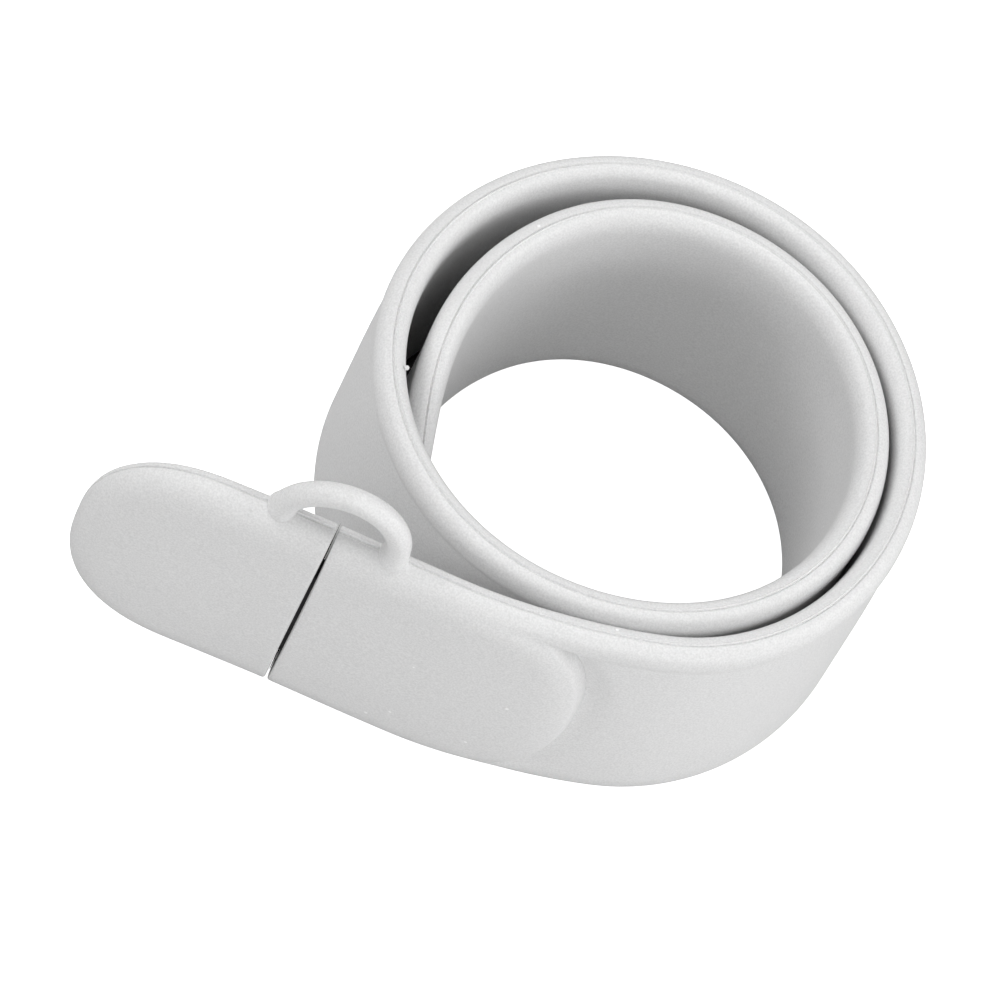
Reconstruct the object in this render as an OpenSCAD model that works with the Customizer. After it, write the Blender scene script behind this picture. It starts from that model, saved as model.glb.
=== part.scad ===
// Slap bracelet with a flat drive in its outer end. It lies on its side, wound nearly
// twice round the Z axis, with the origin on the surface at the middle of the coil.
// The housing and its cap run along +X on the -Y side, with their outer face to -Y.

/* [Band] */
// Width of the band, which is its height as it lies
band_w = 22; // [18:0.5:28]
// Thickness of the band at its beaded rims
rim_t = 2.4; // [2.2:0.1:3]
// Depth of the crease under the top bead. The face swells to full thickness below it.
web_recess = 0.2; // [0.1:0.05:0.5]
// Height of that bead, from the edge to its crease
bead_h = 2.3; // [2:0.1:3.5]
// Rounding of the rim's corners
corner_r = 1; // [0.6:0.05:1]
// Height of the rounding at the outer top corner, which is taller than it is deep
outer_round = 1.6; // [1:0.1:2]
// Height of the rounding at the outer bottom corner
bottom_round = 2.6; // [1:0.1:4]
// Height of the rounding at the two inner corners
inner_round = 2; // [1:0.1:3]

/* [Coil] */
// Radius of the inner turn, to the middle of the band
coil_r = 15.6; // [13:0.1:30]
// Gap between two turns where they lie closest
turn_gap = 0.1; // [0.1:0.05:0.6]
// Direction in which the tip of the inner end lies, counted on through both turns
inner_angle = 575; // [560:1:578]
// Length of the rounding at the inner end
tongue_round = 12; // [8:0.5:16]

/* [Housing] */
// Straight length of the band from the split
lead_len = 8.7; // [8.5:0.1:12]
// Length of the easy bend between the straight and the coil
bend_len = 15; // [12:0.5:20]
// Angle of that bend
bend_turn = 18; // [15:0.5:20]
// Length from the split to where the housing's round end meets the rims
housing_side = 9.8; // [9.2:0.1:16]
// Length of the housing's round end, from the rims to its tip
housing_round = 10.5; // [8:0.5:12]
// Length over which the housing's face rounds down to the band at that end
step_w = 3; // [1.5:0.1:3.5]
// Height of the housing's outer face above the middle of the band
housing_out = 1.9; // [1.7:0.1:2.6]
// Height of its inner face above the middle of the band
housing_in = 1.2; // [1.2:0.1:1.7]
// Rounding of the housing's long edges
edge_round = 3.4; // [1.2:0.1:4]
// Crown of the housing's outer face
crown = 0.25; // [0:0.05:0.5]

/* [Cap] */
// Gap between the cap and the housing
split_gap = 0.3; // [0.2:0.05:0.6]
// Length of the cap
cap_len = 16.7; // [15:0.1:24]
// Length of the cap's round end
cap_round = 9.4; // [8:0.1:13]
// Rounding of the cap's edge at its tip
tip_edge = 3.8; // [3:0.1:7]
// How far the cap's tip stands outwards from the housing's line
tip_out = 0.6; // [0:0.1:0.8]

/* [Plug] */
// Width of the plug
plug_w = 12; // [10:0.1:12.5]
// Thickness of the plug
plug_t = 1.7; // [1.5:0.1:1.9]
// Length of the plug that stands out of the housing
plug_out = 9.5; // [8:0.1:10.5]
// Length of the plug inside the housing
plug_in = 7.8; // [5:0.1:8]
// Bevel of the plug's long edges
plug_edge = 0.3; // [0.2:0.1:0.5]
// Clearance round the plug
plug_clear = 0.1; // [0.05:0.05:0.15]

/* [Tether] */
// Diameter of the tether
cord_d = 1.8; // [1.4:0.1:2.4]
// Distance between the middles of its two feet
tether_span = 8.3; // [6:0.1:12]
// Height of the tether's middle above the edge of the band
tether_rise = 4.6; // [3.5:0.1:8]
// Place of the tether's middle, from the split towards the housing
tether_at = -0.1; // [-1:0.1:1]
// How far the tether's top leans towards the housing
tether_lean = 0.6; // [0:0.1:1]
// Gap under the tether's feet
foot_gap = 0.1; // [0.05:0.05:0.3]

/* [Hidden] */

half_w = band_w / 2;
half_t = rim_t / 2;
pitch = rim_t + turn_gap;
eps = 0.01;

// The coil, one row for each 30 degrees of its way in from the housing. Column 0 is the
// direction, column 1 the radius as a share of coil_r, which both turns have alike,
// and column 2 how many pitches the turn lies outside that.
coil = [
    [-120, 1.00, 0.66], [-90, 1.00, 0.97], [-60, 1.00, 1.15], [-30, 1.00, 1.10],
    [0, 0.99, 1.09], [30, 1.00, 1.09], [60, 1.01, 1.11], [90, 1.01, 1.23],
    [120, 1.02, 1.36], [150, 0.99, 1.76], [180, 0.99, 1.72], [210, 1.00, 1.26],
    [240, 1.00, 0.71], [270, 1.00, 0.18], [300, 1.00, 0.00], [330, 1.00, 0.00],
    [360, 0.99, 0.00], [390, 1.00, 0.00], [420, 1.01, 0.00], [450, 1.01, 0.00],
    [480, 1.02, 0.00], [510, 0.99, 0.00], [540, 0.99, 0.05], [570, 1.00, 0.28],
    [600, 1.00, -0.20], [630, 1.00, -0.60]
];
row_angle = 30;
// Direction in which the bend of the housing joins the coil
join_angle = -70;

// A smooth curve through the neighbourhood of four values, for t from 0 to 1
function blend4(a, b, c, d, t) =
    (pow(1 - t, 3) * a + (3 * pow(t, 3) - 6 * t * t + 4) * b
    + (-3 * pow(t, 3) + 3 * t * t + 3 * t + 1) * c + pow(t, 3) * d) / 6;
function row_r(i) = coil[i][1] * coil_r + coil[i][2] * pitch;
function coil_radius(dir) =
    let (u = (dir - coil[0][0]) / row_angle, i = floor(u))
    blend4(row_r(i - 1), row_r(i), row_r(i + 1), row_r(i + 2), u - i);
function coil_point(dir) = coil_radius(dir) * [cos(dir), sin(dir)];
function coil_heading(dir) =
    let (v = coil_point(dir + eps) - coil_point(dir - eps)) atan2(v.y, v.x);

// A place on the band's middle line, as [x, y, heading], at s millimetres from the split
lead_total = lead_len + bend_len;
mm_per_degree = PI / 180 * coil_radius(join_angle);
join = coil_point(join_angle);
join_heading = coil_heading(join_angle);
bend_r = bend_len / (bend_turn * PI / 180);
straight_heading = join_heading - bend_turn;
function bend_point(turn) =
    join + bend_r * [sin(join_heading - turn) - sin(join_heading),
                     cos(join_heading) - cos(join_heading - turn)];
bend_start = bend_point(bend_turn);
split = bend_start - lead_len * [cos(straight_heading), sin(straight_heading)];
function on_straight(s) =
    let (p = split + s * [cos(straight_heading), sin(straight_heading)])
    [p.x, p.y, straight_heading];
function on_bend(turn) = let (p = bend_point(turn)) [p.x, p.y, join_heading - turn];
function on_coil(dir) = let (p = coil_point(dir)) [p.x, p.y, coil_heading(dir)];
function middle(s) =
    s <= lead_len ? on_straight(s)
    : s < lead_total ? on_bend((lead_total - s) / bend_r * 180 / PI)
    : on_coil(join_angle + (s - lead_total) / mm_per_degree);

// A section is a closed list of [out, rho]: the height over the band's middle, outwards,
// and the place across the band, from -1 at the bottom edge to 1 at the top edge.
// It runs up the outer face, over the top edge, down the inner face and round the bottom.
edge_n = 8;
face_shares = [for (i = [-4 : 4]) i / 5];
inner_shares = [0.5, 0, -0.5];
section_n = 2 * edge_n + len(face_shares) + 2 * 5 + len(inner_shares);
function top_down(list) = [for (i = [len(list) - 1 : -1 : 0]) list[i]];
function low(list) = [for (p = list) [p[0], -p[1]]];

// Outer half of the band's top edge, from the crease up the bead to the flat of the edge
band_edge = concat(
    [for (a = [0 : 30 : 90]) [half_t - web_recess + web_recess * sin(a),
                              half_w - outer_round - (bead_h - outer_round) * cos(a)]],
    [for (a = [22.5 : 22.5 : 90]) [half_t - corner_r + corner_r * cos(a),
                                   half_w - outer_round + outer_round * sin(a)]]);
// Its outer bottom edge, without a bead
band_low_edge = [for (i = [0 : edge_n - 1]) let (a = 90 * i / (edge_n - 1))
    [half_t - corner_r + corner_r * cos(a), half_w - bottom_round + bottom_round * sin(a)]];
band_inner_edge = [for (a = [90 : 22.5 : 180])
    [-half_t + corner_r + corner_r * cos(a), half_w - inner_round + inner_round * sin(a)]];
// The same edges where the drive is inside, as quarters of an ellipse
flat = half_t - corner_r;
function fat_edge(e) = [for (i = [0 : edge_n - 1]) let (a = 90 * i / (edge_n - 1))
    [flat + (housing_out - flat) * cos(a), half_w - e + e * sin(a)]];
function fat_inner_edge(e) = [for (a = [90 : 22.5 : 180])
    [-flat + (housing_in - flat) * cos(a), half_w - e + e * sin(a)]];

function closed_section(low_edge, face, edge, inner_edge, inner) = concat(
    low(top_down(low_edge)), face, edge, inner_edge, inner, low(top_down(inner_edge)));
function shares(points) = [for (p = points) [p[0], p[1] / half_w]];
band_section = shares(closed_section(band_low_edge,
    [for (k = face_shares) [half_t - web_recess * pow(max(0, k), 2),
                            k * (half_w - (k > 0 ? bead_h : bottom_round))]],
    band_edge, band_inner_edge,
    [for (k = inner_shares) [-half_t, k * half_w]]));
function fat_section(e) = shares(closed_section(fat_edge(e),
    [for (k = face_shares) [housing_out + crown * (1 - k * k), k * (half_w - e)]],
    fat_edge(e),
    fat_inner_edge(e),
    [for (k = inner_shares) [-housing_in, k * half_w]]));
// The socket's outline, each point on the line from the middle to one of the section
socket_mid = (housing_out - housing_in) / 2;
function socket_section(section) = [for (p = section)
    let (o = p[0] - socket_mid, z = p[1] * half_w,
         k = min((plug_t / 2 + plug_clear) / max(abs(o), eps),
                 (plug_w / 2 + plug_clear) / max(abs(z), eps)))
    [socket_mid + k * o, k * z / half_w]];
// Between two sections, with one share for the outer face and another for the rims. The
// first goes over into the second across half of each outer edge.
function rim_weight(i) = let (d = abs(i - mirror_sum / 2) - len(face_shares) / 2 + 0.5)
    min(max(d * 2 / edge_n, 0), 1);
function between(a, b, face_t, rim_t) = [for (i = [0 : len(a) - 1])
    let (w = rim_weight(i), t = face_t * (1 - w) + rim_t * w) a[i] * (1 - t) + b[i] * t];
function smooth(t) = let (u = min(max(t, 0), 1)) u * u * (3 - 2 * u);

// Rings: across(section, s, bow) crosses the band at s and bows forward in its middle
function at_place(m, out, rho_z) =
    [m.x + out * sin(m.z), m.y - out * cos(m.z), half_w * (1 + rho_z)];
function across(section, s, bow) = [for (p = section)
    at_place(middle(s + bow * pow(max(0, 1 - pow(abs(p[1]), bow_power)), 1 / bow_power)),
             p[0], p[1])];
bow_power = 2.5;
spread = 0.4;
function end_reach(rho, a, power) =
    abs(rho) * pow(sin(a), 2 / power) + pow(1 - abs(rho), 2) * spread * a / 90;
function end_height(rho, a, power) = rho * pow(cos(a), 2 / power);

// Faces between rings of n points, and over the first and the last ring. The first ring
// is closed by a fan round its middle. The last ring is a closed round end, so its upper
// half is joined to its lower half point by point.
function walls(n, rings) = [for (j = [0 : rings - 2], i = [0 : n - 1], half = [0, 1])
    let (a = j * n + i, b = j * n + (i + 1) % n)
    half == 0 ? [a, b, b + n] : [a, b + n, a + n]];
function first_cap(n, mid) = [for (i = [0 : n - 1]) [mid, (i + 1) % n, i]];
function centre(ring) = [for (p = ring) 1] * ring / len(ring);
mirror_sum = 2 * edge_n + len(face_shares) - 1;
function twin(i, n) = (mirror_sum - i + n) % n;
function last_zip(n, rings) =
    let (first = mirror_sum / 2, base = (rings - 1) * n, steps = n / 2)
    [for (k = [0 : steps - 1], half = [0, 1])
        let (i = (first + k) % n, j = (i + 1) % n, ti = twin(i, n), tj = twin(j, n))
        if (half == 0 ? j != tj : i != ti)
            half == 0 ? [base + i, base + j, base + tj] : [base + i, base + tj, base + ti]];
function turned(faces) = [for (f = faces) top_down(f)];
module skin(rings, outwards) {
    n = section_n;
    points = [for (r = concat(rings, [[centre(rings[0])]])) each r];
    faces = concat(first_cap(n, len(points) - 1), walls(n, len(rings)),
                   last_zip(n, len(rings)));
    polyhedron(points, outwards ? faces : turned(faces), convexity = 10);
}

// Angles of the rings in a round end
end_angles = [0, 12, 24, 36, 48, 58, 68, 78, 88];

// Rings along the housing and past its step, as [place along the rims, share of the bow]
housing_rings = [[0, 0], [0.35, 0.25], [0.7, 0.7]];
after_rings = [[0.15, 0.95], [0.4, 0.75], [0.7, 0.4], [1, 0]];
// The rims go over from the housing's section to the band's along this much of it
rim_from = 2;
rim_to = 14;
function rim_share(s) = smooth((s - rim_from) / (rim_to - rim_from));
// Length along the rims from the step to the first straight ring
after_len = 18;
// Turn between two rings of the coil
ring_turn = 9;

module band() {
    fat = fat_section(edge_round);
    socket = socket_section(fat);
    step_from = housing_side - step_w;
    coil_from = join_angle + (housing_side + after_len - lead_total) / mm_per_degree;
    tongue_turn = tongue_round / (PI / 180 * coil_r);
    coil_to = inner_angle - tongue_turn;
    coil_steps = ceil((coil_to - coil_from) / ring_turn);
    rings = concat(
        [across(socket, plug_in + plug_clear, 0), across(socket, 0, 0)],
        [for (r = housing_rings)
            across(between(fat, band_section, 0, rim_share(r[0] * step_from)),
                   r[0] * step_from, r[1] * housing_round)],
        [for (a = [0 : 22.5 : 90]) let (s = step_from + sin(a) * step_w)
            across(between(fat, band_section, 1 - pow(cos(a), 1.4), rim_share(s)),
                   s, housing_round)],
        [for (r = after_rings) let (s = housing_side + r[0] * after_len)
            across(between(fat, band_section, 1, rim_share(s)), s, r[1] * housing_round)],
        [for (i = [1 : coil_steps - 1])
            let (m = on_coil(coil_from + (coil_to - coil_from) * i / coil_steps))
            [for (p = band_section) at_place(m, p[0], p[1])]],
        [for (a = end_angles) [for (p = band_section)
            at_place(on_coil(coil_to + tongue_turn * end_reach(p[1], a, 2)),
                     p[0], end_height(p[1], a, 2))]]);
    color("gainsboro") skin(rings, false);
}

// The cap's outline is squarer than an ellipse
cap_power = 2.4;
cap_side = cap_len - cap_round;
function on_cap(s, out, rho_z) =
    at_place(on_straight(-split_gap - s), out + tip_out * pow(s / cap_len, 1.2), rho_z);
function cap_ring(e, s) = [for (p = fat_section(e)) on_cap(s, p[0], p[1])];

module cap() {
    socket = socket_section(fat_section(edge_round));
    socket_len = plug_out - split_gap + plug_clear;
    rings = concat(
        [for (s = [socket_len, 0])
            [for (p = socket) at_place(on_straight(-split_gap - s), p[0], p[1])]],
        [cap_ring(edge_round, 0), cap_ring(edge_round, cap_side / 2)],
        [for (a = end_angles)
            [for (p = fat_section(edge_round + (tip_edge - edge_round) * smooth(a / 60)))
                on_cap(cap_side + cap_round * end_reach(p[1], a, cap_power),
                       p[0], end_height(p[1], a, cap_power))]]);
    color("gainsboro") skin(rings, true);
}

// The tether is a round cord bent to half an ellipse that leans towards the housing, in
// the plane of the band's middle
tether_sides = 12;
tether_rings = 16;
module cap_tether() {
    m = on_straight(tether_at);
    rings = [for (i = [0 : tether_rings])
        let (a = 180 * i / tether_rings,
             c = [tether_lean * sin(a) - tether_span / 2 * cos(a), tether_rise * sin(a)],
             v = [tether_lean * cos(a) + tether_span / 2 * sin(a), tether_rise * cos(a)],
             w = i == 0 ? [-1, 0] : i == tether_rings ? [1, 0] : [-v.y, v.x] / norm(v))
        [for (j = [0 : tether_sides - 1])
            let (b = 360 * j / tether_sides, q = c + cord_d / 2 * cos(b) * w)
            [q.x, -cord_d / 2 * sin(b), q.y + foot_gap]]];
    feet = [centre(rings[0]), centre(rings[tether_rings])];
    points = [for (r = concat(rings, [feet])) each r];
    last = tether_rings * tether_sides;
    faces = concat(first_cap(tether_sides, len(points) - 2),
        walls(tether_sides, tether_rings + 1),
        [for (j = [0 : tether_sides - 1])
            [len(points) - 1, last + j, last + (j + 1) % tether_sides]]);
    color("gainsboro")
        translate([m.x, m.y, band_w])
            rotate([0, 0, m.z])
                polyhedron(points, faces, convexity = 4);
}

module plug() {
    m = on_straight(0);
    y = plug_t / 2;
    z = plug_w / 2;
    b = plug_edge;
    color("dimgray")
        translate([m.x, m.y, half_w])
            rotate([0, 0, m.z])
                translate([-plug_out, -socket_mid, 0])
                    rotate([90, 0, 90])
                        linear_extrude(plug_out + plug_in)
                            polygon([[-y, -z + b], [-y + b, -z], [y - b, -z], [y, -z + b],
                                     [y, z - b], [y - b, z], [-y + b, z], [-y, z - b]]);
}

band();
cap();
cap_tether();
plug();
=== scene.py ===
"""A white silicone slap bracelet with a flat drive in its outer end, lying on its side.

The band is wound nearly twice round the Z axis. Lengths below are millimetres in the
part's own frame, and only the last step of each mesh turns them into metres.
"""
import math
import bmesh
import bpy
import numpy as np
from mathutils import Matrix, Vector


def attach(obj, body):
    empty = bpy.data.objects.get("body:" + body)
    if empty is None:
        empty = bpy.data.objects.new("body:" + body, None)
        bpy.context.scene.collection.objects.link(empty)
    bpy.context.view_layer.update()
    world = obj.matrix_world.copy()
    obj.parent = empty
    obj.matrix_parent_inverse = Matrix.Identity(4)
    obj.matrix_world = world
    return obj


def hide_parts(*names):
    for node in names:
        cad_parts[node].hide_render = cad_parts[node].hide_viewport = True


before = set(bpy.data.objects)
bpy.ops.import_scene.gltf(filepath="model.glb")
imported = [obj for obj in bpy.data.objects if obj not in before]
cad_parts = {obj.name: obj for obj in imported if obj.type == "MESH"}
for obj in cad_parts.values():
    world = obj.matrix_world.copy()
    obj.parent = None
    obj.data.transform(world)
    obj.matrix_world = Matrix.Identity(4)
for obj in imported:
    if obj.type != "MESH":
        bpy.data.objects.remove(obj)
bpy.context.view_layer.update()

MM = 0.001

# The bracelet's own measures, as in the part's source
BAND_W, RIM_T, RECESS, BEAD_H, CORNER = 22.0, 2.4, 0.2, 2.3, 1.0
OUTER_ROUND, BOTTOM_ROUND, INNER_ROUND = 1.6, 2.6, 2.0
COIL_R, PITCH, INNER_ANGLE, TONGUE = 15.6, 2.5, 575.0, 12.0
LEAD, BEND, BEND_TURN, JOIN_ANGLE = 8.7, 15.0, 18.0, -70.0
HOUSING_SIDE, HOUSING_ROUND, STEP_W = 9.8, 10.5, 3.0
BOW_POWER, RIM_FROM, RIM_TO, AFTER = 2.5, 2.0, 14.0, 18.0
FAT_OUT, FAT_IN, EDGE_ROUND, CROWN = 1.9, 1.2, 3.4, 0.25
SPLIT_GAP, CAP_LEN, CAP_ROUND, TIP_EDGE, TIP_OUT = 0.3, 16.7, 9.4, 3.8, 0.6
CAP_POWER, TIP_POWER, TIP_GROWN, BULGE_POWER = 2.4, 1.2, 60, 1.4
PLUG_W, PLUG_T, PLUG_OUT, PLUG_IN, PLUG_CLEAR = 12.0, 1.7, 9.5, 7.8, 0.1
CORD_D, TETHER_SPAN, TETHER_RISE, TETHER_AT, TETHER_LEAN = 1.8, 8.3, 4.6, -0.1, 0.6
HALF_W, HALF_T = BAND_W / 2, RIM_T / 2
LAND = HALF_T - CORNER
SOCKET_MID = (FAT_OUT - FAT_IN) / 2
CAP_SIDE = CAP_LEN - CAP_ROUND

# Finer forms that only this script has. First the rounding of the mouths at the split and
# how far they come together at the rims.
MOUTH_ROUND, MOUTH_BOW = 0.18, 0.06
# The dip round the housing's end: its depth, how far it reaches before and beyond the
# step, how steeply it ends, and its share below the middle of the face, which grows to
# the whole depth from one share of the half width across another
DIP, DIP_BEFORE, DIP_BEYOND, DIP_POWER = 0.7, 0.7, 1.3, 1.5
DIP_LOW, DIP_FROM, DIP_GROW = 0.5, -0.2, 0.6
# The swelling of the tether's feet, how high it reaches, and their depth in the rims
FOOT_SWELL, FOOT_RISE, FOOT_DEPTH = 0.2, 0.5, 0.7

# The mould's parting line: a raised bell curve beside a sunk one, and where each lies
RIDGE, RIDGE_OUT, GROOVE, GROOVE_OUT, LINE_W = 0.10, -0.06, 0.08, 0.05, 0.05

# Beads of flash on the rims, each as place from the split, out, height and radius
BAND_NUBS = [(109.1, -0.95, 21.75, 0.18)]
CAP_NUBS = [(-6.1, 0.95, 21.45, 0.3), (-5.75, 1.05, 21.3, 0.22), (-3.6, 0.5, 21.75, 0.22)]

# How many rings each stretch has: the housing's side, its step, the easing after it, the
# winding and the tongue, then the cap's side and its tip, a mouth, and the tether, which
# has so many sides
SIDE_RINGS, STEP_RINGS, EASE_RINGS, COIL_RINGS, TONGUE_RINGS = 30, 25, 40, 470, 42
CAP_RINGS, TIP_RINGS, MOUTH_RINGS, TETHER_RINGS, TETHER_SIDES = 20, 70, 4, 91, 32

# Radius of the winding at each 30 degrees: a share of the inner turn's radius, and how
# many pitches the turn lies outside that
WIND_START, WIND_STEP = -120.0, 30.0
WIND_SHARE = np.array([
    1.00, 1.00, 1.00, 1.00, 0.99, 1.00, 1.01, 1.01, 1.02, 0.99, 0.99, 1.00, 1.00,
    1.00, 1.00, 1.00, 0.99, 1.00, 1.01, 1.01, 1.02, 0.99, 0.99, 1.00, 1.00, 1.00])
WIND_PITCH = np.array([
    0.66, 0.97, 1.15, 1.10, 1.09, 1.09, 1.11, 1.23, 1.36, 1.76, 1.72, 1.26, 0.71,
    0.18, 0.00, 0.00, 0.00, 0.00, 0.00, 0.00, 0.00, 0.00, 0.05, 0.28, -0.20, -0.60])


def wind_radius(direction):
    """A uniform cubic B-spline through the neighbourhood of the table's radii."""
    r = WIND_SHARE * COIL_R + WIND_PITCH * PITCH
    u = (np.asarray(direction, float) - WIND_START) / WIND_STEP
    i = np.clip(np.floor(u).astype(int), 1, len(r) - 3)
    t = u - i
    return ((1 - t) ** 3 * r[i - 1] + (3 * t ** 3 - 6 * t ** 2 + 4) * r[i]
            + (-3 * t ** 3 + 3 * t ** 2 + 3 * t + 1) * r[i + 1] + t ** 3 * r[i + 2]) / 6


def wind_point(direction):
    """Polar to plane: radius times the cosine and the sine of the direction."""
    a = np.radians(direction)
    return wind_radius(direction) * np.cos(a), wind_radius(direction) * np.sin(a)


NEAR = 0.01


def wind_heading(direction):
    """Angle of the chord between two points just before and just after, in radians."""
    (x0, y0), (x1, y1) = wind_point(direction - NEAR), wind_point(direction + NEAR)
    return np.arctan2(y1 - y0, x1 - x0)


PER_DEG = math.radians(1) * float(wind_radius(JOIN_ANGLE))
BEND_R = BEND / math.radians(BEND_TURN)
JOIN_X, JOIN_Y = (float(v) for v in wind_point(JOIN_ANGLE))
JOIN_H = float(wind_heading(JOIN_ANGLE))
LEAD_H = JOIN_H - math.radians(BEND_TURN)
BEND_X = JOIN_X + BEND_R * (math.sin(LEAD_H) - math.sin(JOIN_H))
BEND_Y = JOIN_Y + BEND_R * (math.cos(JOIN_H) - math.cos(LEAD_H))
SPLIT_X = BEND_X - LEAD * math.cos(LEAD_H)
SPLIT_Y = BEND_Y - LEAD * math.sin(LEAD_H)


def middle(s):
    """The band's middle line at s from the split: a straight, then an arc that turns into
    the winding, then the winding, whose direction grows in proportion to s."""
    s = np.asarray(s, float)
    turn = np.clip((LEAD + BEND - s) / BEND_R, 0, math.radians(BEND_TURN))
    direction = JOIN_ANGLE + np.maximum(s - LEAD - BEND, 0) / PER_DEG
    wx, wy = wind_point(direction)
    bx = JOIN_X + BEND_R * (np.sin(JOIN_H - turn) - math.sin(JOIN_H))
    by = JOIN_Y + BEND_R * (math.cos(JOIN_H) - np.cos(JOIN_H - turn))
    on_lead, on_bend = s <= LEAD, s < LEAD + BEND
    x = np.where(on_lead, SPLIT_X + s * math.cos(LEAD_H), np.where(on_bend, bx, wx))
    y = np.where(on_lead, SPLIT_Y + s * math.sin(LEAD_H), np.where(on_bend, by, wy))
    h = np.where(on_lead, LEAD_H, np.where(on_bend, JOIN_H - turn, wind_heading(direction)))
    return x, y, h


def placed(s, out, height):
    """A point out from the middle line at s, square to it, and at a height over the floor."""
    x, y, h = middle(s)
    return np.stack([x + out * np.sin(h), y - out * np.cos(h), height + 0 * x], -1)


def smooth(t):
    """Smoothstep: three t squared less two t cubed."""
    t = np.clip(t, 0, 1)
    return t * t * (3 - 2 * t)


# Half a section runs from the middle of the outer face, over the top edge, to the middle
# of the inner face. Points per stretch: outer face, edge, land, inner edge, inner face.
N_FACE, N_BEAD, N_TURN, N_LAND, N_INNER = 14, 8, 8, 19, 8


def land(out_half):
    """The flat of the edge, with the fine line that the mould's parting leaves: a raised
    bell curve beside a sunk one."""
    out = np.linspace(out_half, -out_half, N_LAND)
    up = RIDGE * np.exp(-((out - RIDGE_OUT) / LINE_W) ** 2)
    down = GROOVE * np.exp(-((out - GROOVE_OUT) / LINE_W) ** 2)
    return out, HALF_W + up - down


def half_band(low):
    """The band's half section. Above: a face that falls to a crease with the square of
    the height, a quarter-ellipse bead and an outer corner taller than it is deep. Below:
    a flat face and one taller corner. Then the flat of the edge, an inner corner and the
    inner face, alike in both."""
    k = np.linspace(0, 1, N_FACE + 1)[:-1]
    w = np.linspace(0, math.pi / 2, N_TURN + 1)
    lo, lz = land(LAND)
    if low:
        q = np.linspace(0, math.pi / 2, N_BEAD + N_TURN)[:-1]
        face_out, face_z = np.full(N_FACE, HALF_T), k * (HALF_W - BOTTOM_ROUND)
        edge_out = LAND + CORNER * np.cos(q)
        edge_z = HALF_W - BOTTOM_ROUND + BOTTOM_ROUND * np.sin(q)
    else:
        q = np.linspace(0, math.pi / 2, N_BEAD)
        face_out, face_z = HALF_T - RECESS * k * k, k * (HALF_W - BEAD_H)
        edge_out = np.concatenate([HALF_T - RECESS * (1 - np.sin(q)),
                                   (LAND + CORNER * np.cos(w))[1:-1]])
        edge_z = np.concatenate([HALF_W - OUTER_ROUND - (BEAD_H - OUTER_ROUND) * np.cos(q),
                                 (HALF_W - OUTER_ROUND + OUTER_ROUND * np.sin(w))[1:-1]])
    out = np.concatenate([face_out, edge_out, lo, (-LAND - CORNER * np.sin(w))[1:],
                          np.full(N_INNER, -HALF_T)])
    z = np.concatenate([face_z, edge_z, lz,
                        (HALF_W - INNER_ROUND + INNER_ROUND * np.cos(w))[1:],
                        np.linspace(HALF_W - INNER_ROUND, 0, N_INNER + 1)[1:]])
    return out, z


def half_fat(edge):
    """The drive's half section: a crowned face, a quarter ellipse edge high, the flat of
    the edge, an inner quarter ellipse and the inner face."""
    q = np.linspace(0, math.pi / 2, N_BEAD + N_TURN)[:-1]
    w = np.linspace(0, math.pi / 2, N_TURN + 1)[1:]
    k = np.linspace(0, 1, N_FACE + 1)[:-1]
    lo, lz = land(LAND)
    out = np.concatenate([
        FAT_OUT + CROWN * (1 - k * k), LAND + (FAT_OUT - LAND) * np.cos(q), lo,
        -LAND - (FAT_IN - LAND) * np.sin(w), np.full(N_INNER, -FAT_IN)])
    z = np.concatenate([
        k * (HALF_W - edge), HALF_W - edge + edge * np.sin(q), lz,
        HALF_W - edge + edge * np.cos(w), np.linspace(HALF_W - edge, 0, N_INNER + 1)[1:]])
    return out, z


def whole(above, below):
    """A closed section as [out, share of the half width] from its two halves."""
    out = np.concatenate([above[0], below[0][-2:0:-1]])
    rho = np.concatenate([above[1], -below[1][-2:0:-1]]) / HALF_W
    return np.stack([out, rho])


def rim_weight():
    """How far a point of the section belongs to the rims: none on the outer face, growing
    evenly across the bead, and wholly from the corner on round the inner face."""
    half = np.ones(N_FACE + N_BEAD + N_TURN - 1 + N_LAND + N_TURN + N_INNER)
    half[:N_FACE] = 0
    half[N_FACE:N_FACE + N_BEAD] = np.linspace(0, 1, N_BEAD)
    return np.concatenate([half, half[-2:0:-1]])


TINY = 1e-6


def socket(section):
    """The plug's outline, each point on the line from the middle to one of the section."""
    out, z = section[0] - SOCKET_MID, section[1] * HALF_W
    k = np.minimum((PLUG_T / 2 + PLUG_CLEAR) / np.maximum(np.abs(out), TINY),
                   (PLUG_W / 2 + PLUG_CLEAR) / np.maximum(np.abs(z), TINY))
    return np.stack([SOCKET_MID + k * out, k * z / HALF_W])


def drawn_in(section, by):
    """The section drawn in towards its middle by nearly the same width all round: each of
    its two measures shrinks in proportion to its own half size."""
    out = SOCKET_MID + (section[0] - SOCKET_MID) * (1 - by / (FAT_OUT - SOCKET_MID))
    return np.stack([out, section[1] * (1 - by / HALF_W)])


FACE_SPREAD = 0.4


def end_reach(rho, a, power):
    """How far along its axis a point of a round end lies, as a share of the end's length:
    a superellipse at the rim, drawn back towards the middle of the face, where the
    points spread evenly over a small part of it."""
    rho = np.minimum(np.abs(rho), 1)
    return rho * np.sin(a) ** (2 / power) + (1 - rho) ** 2 * FACE_SPREAD * a / (math.pi / 2)


def end_height(rho, a, power):
    """How high a point of a round end lies: the other measure of the superellipse."""
    return rho * np.maximum(np.cos(a), 0) ** (2 / power)


def quads_between(index, nxt):
    """The quads between each row of points and the next, where nxt holds the neighbours."""
    return np.stack([index[:-1], index[1:], nxt[1:], nxt[:-1]], -1).reshape(-1, 4)


NUB_ROWS, NUB_SIDES = 7, 12


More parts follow.
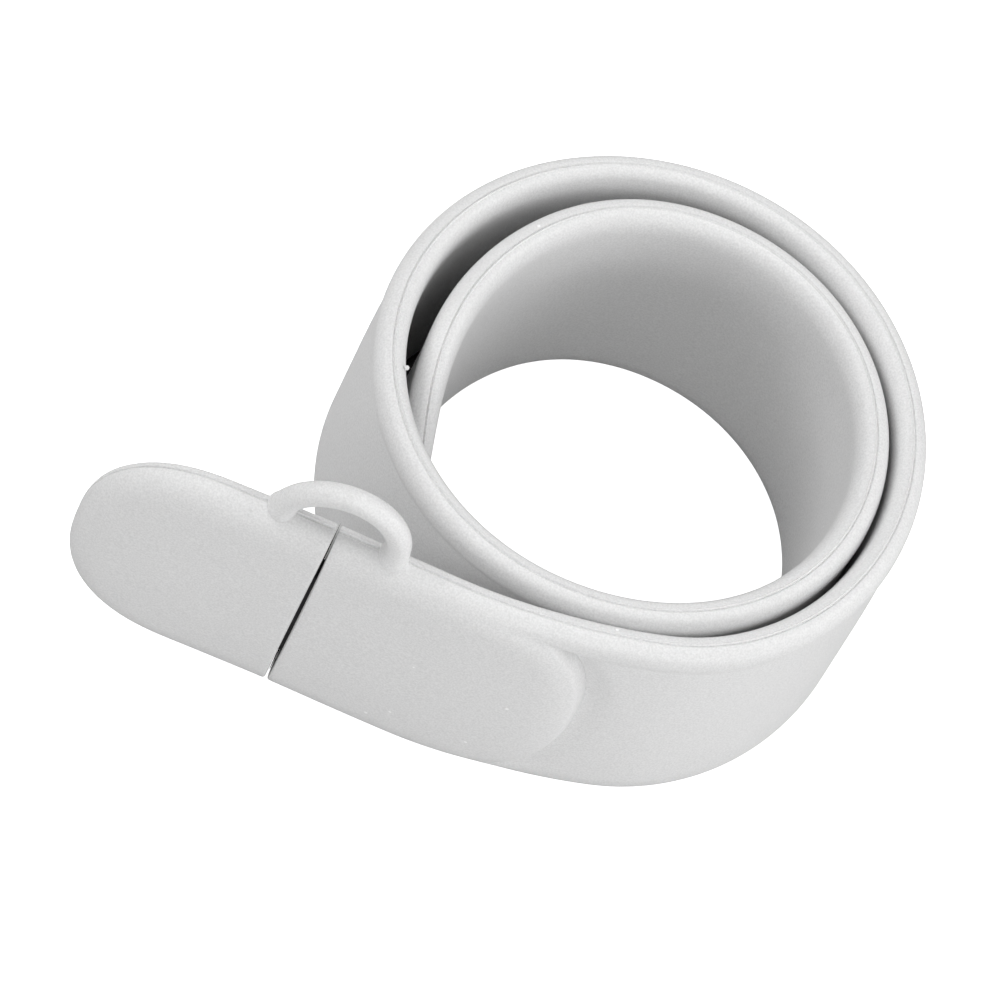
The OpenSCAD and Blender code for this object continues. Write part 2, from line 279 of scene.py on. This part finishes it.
def nub(s, out, height, r):
    """A bead of flash that the mould leaves: a small ball, half sunk, as points and faces.
    Its rows lie at even angles from pole to pole, and each pole is one point."""
    a, b = np.meshgrid(np.linspace(0, math.pi, NUB_ROWS + 2)[1:-1],
                       np.arange(NUB_SIDES) * 2 * math.pi / NUB_SIDES, indexing="ij")
    ball = np.stack([np.sin(a) * np.cos(b), np.sin(a) * np.sin(b), np.cos(a)], -1) * r
    points = np.concatenate([ball.reshape(-1, 3), [[0, 0, r], [0, 0, -r]]])
    index = np.arange(a.size).reshape(a.shape)
    nxt = np.roll(index, -1, axis=1)
    top = np.stack([np.full(NUB_SIDES, a.size), index[0], nxt[0]], -1)
    low = np.stack([np.full(NUB_SIDES, a.size + 1), nxt[-1], index[-1]], -1)
    faces = [*quads_between(index, nxt).tolist(), *top.tolist(), *low.tolist()]
    return points + placed(s, out, height), faces


def skin(name, rings, forward, nubs):
    """A closed surface over rings of equal count. The first ring is closed by a strip from
    each point to its mirror point below, and the last ring's mirror points are one. The
    nubs of flash stand on it."""
    count, n = rings.shape[:2]
    index = np.arange(count * n).reshape(count, n)
    twin = (-np.arange(n)) % n
    index[-1] = index[-1][np.minimum(np.arange(n), twin)]
    nxt = np.roll(index, -1, axis=1)
    quads = quads_between(index, nxt)
    k = np.arange(1, n // 2 - 1)
    strip = np.stack([index[0][k], index[0][k + 1], index[0][twin[k + 1]],
                      index[0][twin[k]]], -1)
    tips = np.array([[0, 1, n - 1], [n // 2 - 1, n // 2, n // 2 + 1]])
    if not forward:
        quads, strip, tips = quads[:, ::-1], strip[:, ::-1], tips[:, ::-1]
    faces = [*quads.tolist(), *strip.tolist(), *tips.tolist()]
    faces = [[v for i, v in enumerate(f) if v != f[i - 1]] for f in faces]
    faces = [f for f in faces if len(f) > 2]
    points = rings.reshape(-1, 3)
    for more, mesh in (nub(*place) for place in nubs):
        faces += [[v + len(points) for v in f] for f in mesh]
        points = np.concatenate([points, more])
    return made(name, points, faces)


SHARP_FROM = 38


def made(name, points, faces):
    """A mesh object in metres from points in millimetres, smooth but for its creases."""
    mesh = bpy.data.meshes.new(name)
    mesh.from_pydata((points * MM).tolist(), [], faces)
    mesh.validate()
    # The points that the last ring's merging leaves over
    loose = np.ones(len(mesh.vertices), bool)
    ends = np.zeros(len(mesh.edges) * 2, np.int32)
    mesh.edges.foreach_get("vertices", ends)
    loose[ends] = False
    if loose.any():
        work = bmesh.new()
        work.from_mesh(mesh)
        work.verts.ensure_lookup_table()
        bmesh.ops.delete(work, geom=[work.verts[i] for i in np.flatnonzero(loose)])
        work.to_mesh(mesh)
        work.free()
    mesh.shade_smooth()
    mesh.set_sharp_from_angle(angle=math.radians(SHARP_FROM))
    piece = bpy.data.objects.new(name, mesh)
    bpy.context.scene.collection.objects.link(piece)
    return piece


def mouth_rings(depth, section):
    """The rings of an open end, as places along the middle line and their sections: the
    socket's floor, its rim, then a quarter circle out to the full section."""
    a = np.linspace(0, math.pi / 2, MOUTH_RINGS)
    place = [depth, 0.0, *(MOUTH_ROUND * (1 - np.cos(a)))]
    rounded = [drawn_in(section, inset) for inset in MOUTH_ROUND * (1 - np.sin(a))]
    return np.array(place), [socket(section)] * 2 + rounded


def build_band():
    """The moulded strap with the drive's housing: a section carried along the middle line.
    Over the housing each ring bows forward in its middle as a superellipse, so that the
    soft step at the housing's end follows a U. The step falls as a power of a cosine."""
    fat = whole(half_fat(EDGE_ROUND), half_fat(EDGE_ROUND))
    thin = whole(half_band(False), half_band(True))
    step_from = HOUSING_SIDE - STEP_W
    tongue = TONGUE * PER_DEG / (math.radians(1) * COIL_R)
    coil_to = LEAD + BEND + (INNER_ANGLE - JOIN_ANGLE) * PER_DEG - tongue
    mouth, mouth_sections = mouth_rings(PLUG_IN + PLUG_CLEAR, fat)
    run = np.linspace(0, 1, SIDE_RINGS)[1:]
    step = np.linspace(0, math.pi / 2, STEP_RINGS)[1:]
    ease = np.linspace(0, 1, EASE_RINGS)[1:]
    coil = np.linspace(HOUSING_SIDE + AFTER, coil_to, COIL_RINGS)[1:]
    turn = np.linspace(0, math.pi / 2, TONGUE_RINGS)[1:]
    place = np.concatenate([mouth, MOUTH_ROUND + run * (step_from - MOUTH_ROUND),
                            step_from + np.sin(step) * STEP_W,
                            HOUSING_SIDE + ease * AFTER, coil,
                            np.full(len(turn), coil_to)])
    bow = HOUSING_ROUND * np.concatenate([
        np.zeros(len(mouth)), smooth(run), np.ones(len(step)), 1 - smooth(ease),
        np.zeros(len(coil) + len(turn))])
    face = np.concatenate([np.zeros(len(mouth) + len(run)), 1 - np.cos(step) ** BULGE_POWER,
                           np.ones(len(ease) + len(coil) + len(turn))])
    rims = smooth((place - RIM_FROM) / (RIM_TO - RIM_FROM))
    rims[:len(mouth)] = 0
    rim = rim_weight()
    share = face[:, None] * (1 - rim) + rims[:, None] * rim
    section = fat[:, None] * (1 - share) + thin[:, None] * share
    section[:, :len(mouth)] = np.stack(mouth_sections, 1)
    out, rho = section
    across = np.maximum(0, 1 - np.abs(rho) ** BOW_POWER) ** (1 / BOW_POWER)
    s = place[:, None] + bow[:, None] * across
    z = rho.copy()
    tail = slice(-len(turn), None)
    s[tail] = coil_to + tongue * end_reach(rho[tail], turn[:, None], 2)
    z[tail] = end_height(rho[tail], turn[:, None], 2)
    # The band sinks round the housing's end, where the stiff drive stops
    beyond = place - HOUSING_SIDE
    after = np.exp(-(np.maximum(beyond, 0) / DIP_BEYOND) ** DIP_POWER)
    sunk = DIP * np.where(beyond > 0, after, smooth(1 + beyond / DIP_BEFORE))
    depth = DIP_LOW + (1 - DIP_LOW) * smooth((rho - DIP_FROM) / DIP_GROW)
    out = out - sunk[:, None] * depth * (1 - rim)
    bow_mouth(s, rho, len(mouth))
    return skin("silicone_band", placed(s, out, HALF_W * (1 + z)), True, BAND_NUBS)


def bow_mouth(s, rho, count):
    """Brings the mouth's rings nearer to the split with the square of the height, so that
    the two mouths lie closer at the rims than in the middle."""
    s[:count] -= np.minimum(MOUTH_BOW * rho[:count] ** 2, MOUTH_BOW)


def build_cap():
    """The hollow cap: the drive's section carried outwards from the split. Its edge grows
    rounder round a superellipse end, and it leans out with a power of the length."""
    fat = whole(half_fat(EDGE_ROUND), half_fat(EDGE_ROUND))
    mouth, mouth_sections = mouth_rings(PLUG_OUT - SPLIT_GAP + PLUG_CLEAR, fat)
    run = np.linspace(0, 1, CAP_RINGS)[1:]
    turn = np.linspace(0, math.pi / 2, TIP_RINGS)[1:]
    edges = EDGE_ROUND + (TIP_EDGE - EDGE_ROUND) * smooth(turn / math.radians(TIP_GROWN))
    tip_sections = [whole(half_fat(e), half_fat(e)) for e in edges]
    out, rho = np.stack(mouth_sections + [fat] * len(run) + tip_sections, 1)
    place = np.concatenate([mouth, MOUTH_ROUND + run * (CAP_SIDE - MOUTH_ROUND),
                            np.full(len(turn), CAP_SIDE)])
    s = place[:, None] + 0 * rho
    z = rho.copy()
    tail = slice(-len(turn), None)
    s[tail] = CAP_SIDE + CAP_ROUND * end_reach(rho[tail], turn[:, None], CAP_POWER)
    z[tail] = end_height(rho[tail], turn[:, None], CAP_POWER)
    lift = TIP_OUT * (np.maximum(s, 0) / CAP_LEN) ** TIP_POWER
    lift[:len(mouth)] = 0
    bow_mouth(s, rho, len(mouth))
    points = placed(-SPLIT_GAP - s, out + lift, HALF_W * (1 + z))
    return skin("silicone_cap", points, False, CAP_NUBS)


def build_tether():
    """The cap's tether: a round cord along half an ellipse that stands on the rims and
    leans towards the housing, swollen where it runs into them by an exponential of the
    height. Its two feet go straight down into the rims."""
    a = np.linspace(0, math.pi, TETHER_RINGS)[:, None]
    b = np.linspace(0, 2 * math.pi, TETHER_SIDES + 1)[None, :-1]
    cx = -TETHER_SPAN / 2 * np.cos(a) + TETHER_LEAN * np.sin(a)
    vx = TETHER_SPAN / 2 * np.sin(a) + TETHER_LEAN * np.cos(a)
    cz, vz = TETHER_RISE * np.sin(a), TETHER_RISE * np.cos(a)
    size = np.hypot(vx, vz)
    r = CORD_D / 2 + FOOT_SWELL * np.exp(-cz / FOOT_RISE)
    x = cx + r * np.cos(b) * (-vz / size)
    z = cz + r * np.cos(b) * (vx / size)
    out = -r * np.sin(b)
    rings = np.stack([x, out, z], -1)
    p = np.concatenate([rings[:1], rings, rings[-1:]])
    p[[0, -1], :, 2] = -FOOT_DEPTH
    points = placed(TETHER_AT + p[..., 0], p[..., 1], BAND_W + p[..., 2])
    count, n = points.shape[:2]
    index = np.arange(count * n).reshape(count, n)
    nxt = np.roll(index, -1, axis=1)
    quads = quads_between(index, nxt)
    faces = [*quads.tolist(), index[0].tolist(), index[-1][::-1].tolist()]
    return made("silicone_tether", points.reshape(-1, 3), faces)


band = build_band()
cap = build_cap()
tether = build_tether()
for piece, node in ((band, "band"), (cap, "cap"), (tether, "cap_tether")):
    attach(piece, "root")
    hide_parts(node)


def linear(code):
    """sRGB hex to linear light: the standard's straight foot, then its power of 2.4."""
    c = [int(code[i:i + 2], 16) / 255 for i in (1, 3, 5)]
    return (*(v / 12.92 if v <= 0.04045 else ((v + 0.055) / 1.055) ** 2.4 for v in c), 1)


def add(tree, kind, settings=(), **links):
    """Adds a node, sets its properties and sockets, and links sockets by name."""
    node = tree.nodes.new(kind)
    for key, value in dict(settings).items():
        if isinstance(key, str) and hasattr(node, key):
            setattr(node, key, value)
        else:
            node.inputs[key].default_value = value
    for key, source in links.items():
        tree.links.new(source, node.inputs[key.replace("_", " ")])
    return node


def new_material(name):
    """An empty material with its output and a Principled shader joined to it."""
    material = bpy.data.materials.new(name)
    material.use_nodes = True
    tree = material.node_tree
    tree.nodes.clear()
    shader = tree.nodes.new("ShaderNodeBsdfPrincipled")
    end = tree.nodes.new("ShaderNodeOutputMaterial")
    tree.links.new(shader.outputs[0], end.inputs[0])
    return material, tree, shader


# The sockets of a colour Mix node, by number, since its float ones have the same names
MIX_A, MIX_B, MIXED = 6, 7, 2
# Counts to the metre: seven grains of the blasted mould to a millimetre, drawn as coarse
# as they need to show, a place for a dust speck at each 1.4 mm, a cloud of tone at each
# 17 mm, and five grains of the resin's filler to a millimetre
GRAIN, DUST, CLOUD, FILLER = 7000, 700, 60, 5000


def satin_silicone():
    """Silicone rubber moulded in a blasted steel mould: milky white, a broad soft gloss,
    light that goes a little way in at thin edges, a grain of about a tenth of a
    millimetre in tone and in height, and the fine pale dust that silicone holds."""
    material, tree, shader = new_material("moulded satin silicone")
    where = add(tree, "ShaderNodeTexCoord").outputs["Object"]
    grain = add(tree, "ShaderNodeTexNoise", {"Scale": GRAIN, "Detail": 2.0}, Vector=where)
    cloud = add(tree, "ShaderNodeTexNoise", {"Scale": CLOUD, "Detail": 2.0}, Vector=where)
    dust = add(tree, "ShaderNodeTexVoronoi", {"Scale": DUST, "Randomness": 1.0}, Vector=where)
    rough = add(tree, "ShaderNodeMapRange", {"From Min": 0.3, "From Max": 0.7,
                                             "To Min": 0.40, "To Max": 0.47},
                Value=cloud.outputs[0])
    mottle = add(tree, "ShaderNodeMix", {"data_type": "RGBA", MIX_A: linear("#d6d6d6"),
                                         MIX_B: linear("#e6e6e6")})
    spread = add(tree, "ShaderNodeMapRange", {"From Min": 0.3, "From Max": 0.7},
                 Value=grain.outputs[0])
    tree.links.new(spread.outputs[0], mottle.inputs[0])
    # A speck is a small round spot at a cell's middle, and only three cells in a hundred
    # have one
    near = add(tree, "ShaderNodeMath", {"operation": "LESS_THAN", 1: 0.09})
    tree.links.new(dust.outputs["Distance"], near.inputs[0])
    rare = add(tree, "ShaderNodeSeparateColor", (), Color=dust.outputs["Color"])
    few = add(tree, "ShaderNodeMath", {"operation": "LESS_THAN", 1: 0.03})
    tree.links.new(rare.outputs[0], few.inputs[0])
    speck = add(tree, "ShaderNodeMath", {"operation": "MULTIPLY"})
    tree.links.new(near.outputs[0], speck.inputs[0])
    tree.links.new(few.outputs[0], speck.inputs[1])
    tint = add(tree, "ShaderNodeMix", {"data_type": "RGBA", MIX_B: linear("#f6f6f6")})
    tree.links.new(speck.outputs[0], tint.inputs[0])
    tree.links.new(mottle.outputs[MIXED], tint.inputs[MIX_A])
    bump = add(tree, "ShaderNodeBump", {"Strength": 0.10, "Distance": 0.0001},
               Height=grain.outputs[0])
    tree.links.new(tint.outputs[MIXED], shader.inputs["Base Color"])
    tree.links.new(rough.outputs[0], shader.inputs["Roughness"])
    tree.links.new(bump.outputs[0], shader.inputs["Normal"])
    shader.inputs["IOR"].default_value = 1.41
    shader.inputs["Subsurface Weight"].default_value = 0.12
    shader.inputs["Subsurface Radius"].default_value = (1.0, 0.95, 0.9)
    shader.inputs["Subsurface Scale"].default_value = 0.0005
    return material


def black_board():
    """A drive board moulded over in black epoxy: nearly black, a dull gloss with the fine
    unevenness of the filled resin."""
    material, tree, shader = new_material("black epoxy over board")
    where = add(tree, "ShaderNodeTexCoord").outputs["Object"]
    filler = add(tree, "ShaderNodeTexNoise", {"Scale": FILLER, "Detail": 2.0}, Vector=where)
    rough = add(tree, "ShaderNodeMapRange", {"To Min": 0.45, "To Max": 0.6},
                Value=filler.outputs[0])
    tree.links.new(rough.outputs[0], shader.inputs["Roughness"])
    shader.inputs["Base Color"].default_value = linear("#17171a")
    shader.inputs["IOR"].default_value = 1.55
    return material


silicone = satin_silicone()
for piece in (band, cap, tether):
    piece.data.materials.append(silicone)
epoxy = black_board()
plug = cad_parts["plug"]
for slot in plug.material_slots:
    slot.material = epoxy


def flat_sheet(name, size, height):
    """A square sheet round the origin at a height, all in metres."""
    corner = np.array([[-1, -1], [1, -1], [1, 1], [-1, 1]]) * size / 2
    mesh = bpy.data.meshes.new(name)
    mesh.from_pydata(np.c_[corner, np.full(4, height)].tolist(), [], [[0, 1, 2, 3]])
    sheet = bpy.data.objects.new(name, mesh)
    bpy.context.scene.collection.objects.link(sheet)
    return sheet


def paper(name, colour, glow):
    """Matt paper of a colour, with an even glow of its own."""
    material, _, shader = new_material(name)
    shader.inputs["Base Color"].default_value = linear(colour)
    shader.inputs["Roughness"].default_value = 0.9
    shader.inputs["Specular IOR Level"].default_value = 0.0
    shader.inputs["Emission Color"].default_value = (1, 1, 1, 1)
    shader.inputs["Emission Strength"].default_value = glow
    return material


# Floor: a plain white sheet, lit from below as on a light table, so that shadows on it
# are faint. What lights the object from below is the grey table under the sheet.
FLOOR_SIZE, TABLE_DROP = 6.0, 0.0002
floor = flat_sheet("floor", FLOOR_SIZE, 0.0)
floor.data.materials.append(paper("matt white paper", "#d8d8d8", 1.0))
floor.visible_diffuse = floor.visible_glossy = floor.visible_shadow = False
table = flat_sheet("table", FLOOR_SIZE, -TABLE_DROP)
table.data.materials.append(paper("matt grey board", "#c2c2c2", 0.0))
table.visible_camera = False


def card(name, points, faces, finish):
    """A flat card of painted shade that belongs to the set, from points in millimetres."""
    mesh = bpy.data.meshes.new(name)
    mesh.from_pydata((points * MM).tolist(), [], faces)
    mesh.materials.append(finish)
    shade = bpy.data.objects.new(name, mesh)
    bpy.context.scene.collection.objects.link(shade)


# Between the two turns the floor is in deep shade: a dark strip just over it is painted
# shade, from the middle of the outer turn's wall to the middle of the inner turn's
SHADE_FROM, SHADE_TO, SHADE_STEPS, SHADE_UP = -58, 205, 90, 0.01
way = np.linspace(SHADE_FROM, SHADE_TO, SHADE_STEPS)
sides = [np.stack(wind_point(way + full_turn), -1) for full_turn in (360, 0)]
strip = np.stack(sides, 1).reshape(-1, 2)
i = 2 * np.arange(len(way) - 1)[:, None]
card("gap_shade", np.c_[strip, np.full(len(strip), SHADE_UP)],
     (i + np.array([0, 1, 3, 2])).tolist(), paper("painted shade grey paper", "#606060", 0.0))

# The split between the cap and the housing is dark too, as it is in deep shade: a dark card
# of painted shade stands in the middle of it, cut to stay inside the band's outline, each
# corner as out and height
SPLIT_CARD = np.array([[0.4, 0.6], [1.3, 2.6], [1.4, 18.5], [0.9, 20.6], [0.2, 21.6],
                       [-0.9, 21.6], [-0.9, 0.6]])
card("split_shade", placed(np.full(len(SPLIT_CARD), -SPLIT_GAP / 2), *SPLIT_CARD.T),
     [list(range(len(SPLIT_CARD)))], paper("painted shade black paper", "#202020", 0.0))

# Soft studio light: a pale room all round, a small panel overhead that gives the tether a
# faint shade, and wide ones above the front, at both sides and low in front
ROOM_GLOW = 0.42
world = bpy.data.worlds.new("studio")
bpy.context.scene.world = world
world.use_nodes = True
world.node_tree.nodes["Background"].inputs[0].default_value = linear("#ffffff")
world.node_tree.nodes["Background"].inputs[1].default_value = ROOM_GLOW

PANEL_FAR = 0.8
LIT_POINT = Vector((-0.006, 0, 0.011))


def panel(name, azimuth, elevation, width, power):
    """A square area light that looks at the object's middle from a direction. Azimuth 0
    is the -Y side, and 90 the +X side."""
    lamp = bpy.data.lights.new(name, "AREA")
    lamp.shape, lamp.size, lamp.energy = "SQUARE", width, power
    lit = bpy.data.objects.new(name, lamp)
    bpy.context.scene.collection.objects.link(lit)
    a, e = math.radians(azimuth), math.radians(elevation)
    way = Vector((math.sin(a) * math.cos(e), -math.cos(a) * math.cos(e), math.sin(e)))
    lit.location = way * PANEL_FAR + LIT_POINT
    lit.rotation_euler = way.to_track_quat("Z", "Y").to_euler()


panel("overhead", 180, 80, 0.12, 1.35)
panel("top", 0, 50, 0.4, 0.65)
panel("left", -95, 32, 0.4, 2.4)
panel("right", 95, 32, 0.4, 2.3)
panel("front", 30, 2, 0.4, 3.3)

# Camera at the photograph's angle: where it stands, the point it looks at, its roll in
# degrees and its focal length in millimetres
EYE = Vector((-0.02994, -0.28368, 0.48579))
AIM = Vector((-0.00690, 0.00065, 0.00015))
ROLL, LENS = 28.03, 282.1
back = (EYE - AIM).normalized()
level = Vector((0, 0, 1)).cross(back).normalized()
right = Matrix.Rotation(math.radians(ROLL), 3, back) @ level
camera_data = bpy.data.cameras.new("camera")
camera_data.sensor_fit = "HORIZONTAL"
camera_data.sensor_width = 36
camera_data.lens = LENS
camera_data.clip_start, camera_data.clip_end = 0.01, 20
camera = bpy.data.objects.new("camera", camera_data)
bpy.context.scene.collection.objects.link(camera)
camera.matrix_world = Matrix.Translation(EYE) @ Matrix(
    (right, back.cross(right), back)).transposed().to_4x4()
bpy.context.scene.camera = camera
bpy.context.scene.view_settings.view_transform = "Standard"
